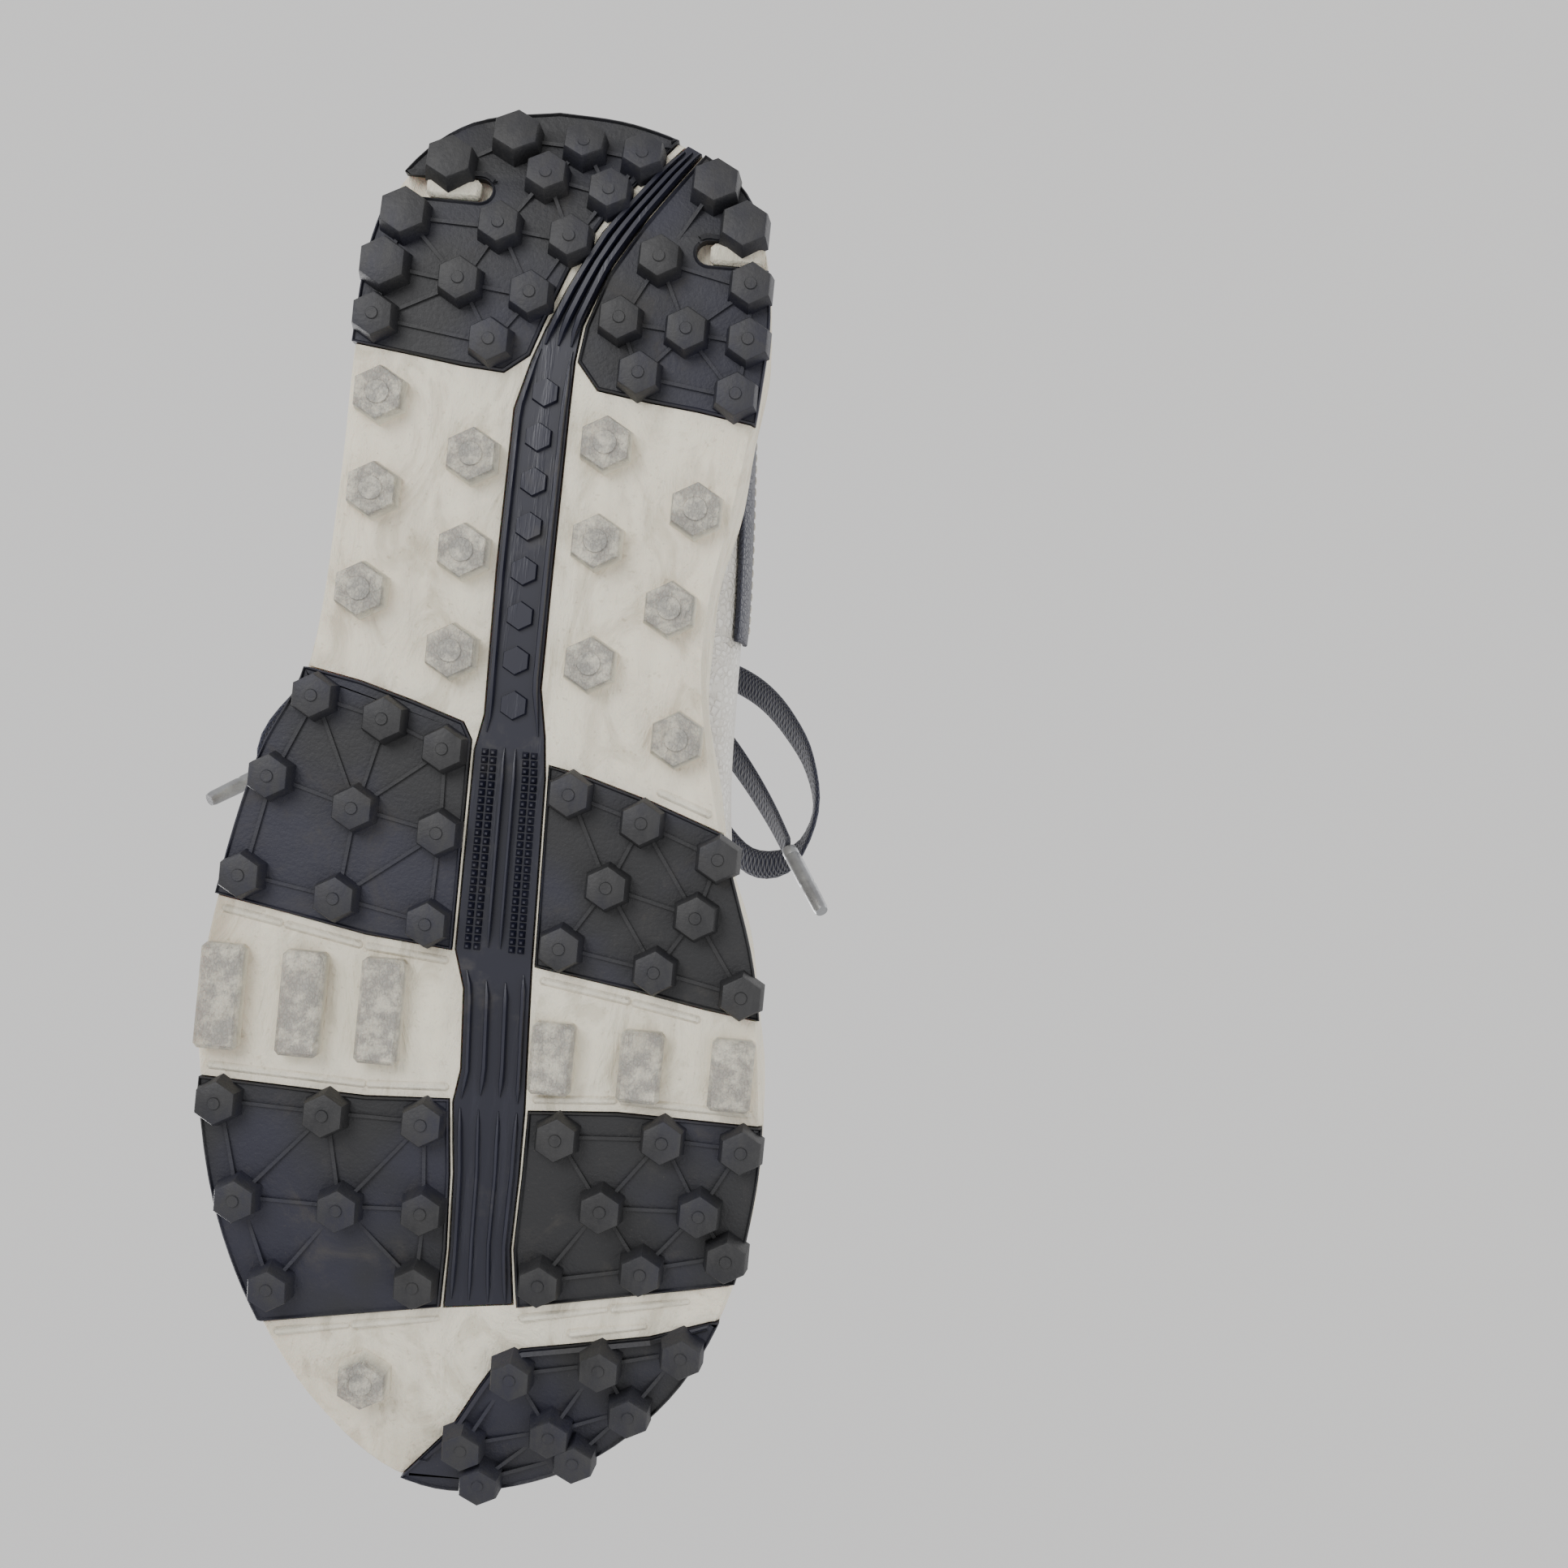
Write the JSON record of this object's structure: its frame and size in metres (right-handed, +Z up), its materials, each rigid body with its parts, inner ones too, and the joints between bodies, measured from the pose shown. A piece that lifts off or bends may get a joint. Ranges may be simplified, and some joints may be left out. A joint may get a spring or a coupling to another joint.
{
  "type": "golf shoe",
  "caption": "Spikeless golf shoe for the left foot, tied: rubber pods with hexagonal cleats on a foam midsole, under a stitched low leather upper.",
  "frame": {"origin": "under the middle of the shoe's box (free lace left out), on the ground that the cleats stand on", "axes": "+Z up from the sole to the collar, +Y from the toe to the heel, +X to the outer (lateral) side of this left shoe"},
  "size_m": [0.1473, 0.2996, 0.1283],
  "materials": {
    "sole_foam": "moulded cream-white foam, slightly yellowed at the glue lines",
    "pod_rubber": "matte moulded rubber with engraved joining lines",
    "moulded_spine": "satin moulded, knurled patches",
    "white_leather": "smooth coated, double stitched",
    "navy_leather": "smooth coated, double stitched in white",
    "navy_cloth": "woven",
    "board": "fibre board",
    "lace": "braided flat lace",
    "eyelet": "satin enamel",
    "aglet": "satin"
  },
  "bodies": {
    "rear": {"aglet_lateral": "aglet", "aglet_medial": "aglet", "ball_pod_lateral": "pod_rubber", "ball_pod_medial": "pod_rubber", "collar_padding": "navy_cloth", "eyelet_lateral_1": "eyelet", "eyelet_lateral_2": "eyelet", "eyelet_lateral_3": "eyelet", "eyelet_lateral_4": "eyelet", "eyelet_lateral_5": "eyelet", "eyelet_medial_1": "eyelet", "eyelet_medial_2": "eyelet", "eyelet_medial_3": "eyelet", "eyelet_medial_4": "eyelet", "eyelet_medial_5": "eyelet", "eyestay_lateral": "white_leather", "eyestay_medial": "white_leather", "heel_counter": "board", "heel_foxing": "navy_leather", "heel_pod_lateral": "pod_rubber", "heel_pod_medial": "pod_rubber", "lace_end_lateral": "lace", "lace_end_medial": "lace", "lace_knot": "lace", "lace_loop_lateral": "lace", "lace_loop_medial": "lace", "lace_run": "lace", "midsole": "sole_foam", "quarter_lateral": "white_leather", "quarter_lining": "navy_cloth", "quarter_medial": "white_leather", "shank_spine": "moulded_spine", "sockliner": "navy_cloth", "strobel_board": "board", "vamp": "white_leather", "vamp_lining": "navy_cloth"},
    "forefoot": {"fore_pod_lateral": "pod_rubber", "fore_pod_medial": "pod_rubber", "toe_pod": "pod_rubber", "toe_cap": "white_leather", "toe_puff": "board"},
    "tongue": {"tongue": "navy_cloth"}
  },
  "joints": [
    {"name": "forefoot_flex", "type": "hinge", "parent": "rear", "child": "forefoot", "pos_m": [-0.00035, -0.0473, 0.024], "axis": [-1, 0, 0], "range_deg": [0, 25], "stiffness_Nm_per_rad": 1.5, "springref_deg": -2.86, "deforming": ["midsole", "shank_spine", "vamp", "vamp_lining", "strobel_board", "sockliner"]},
    {"name": "tongue_tilt", "type": "hinge", "parent": "rear", "child": "tongue", "pos_m": [-0.00035, -0.0343, 0.078], "axis": [-1, 0, 0], "range_deg": [0, 10], "stiffness_Nm_per_rad": 0.2, "springref_deg": -5.73}
  ]
}
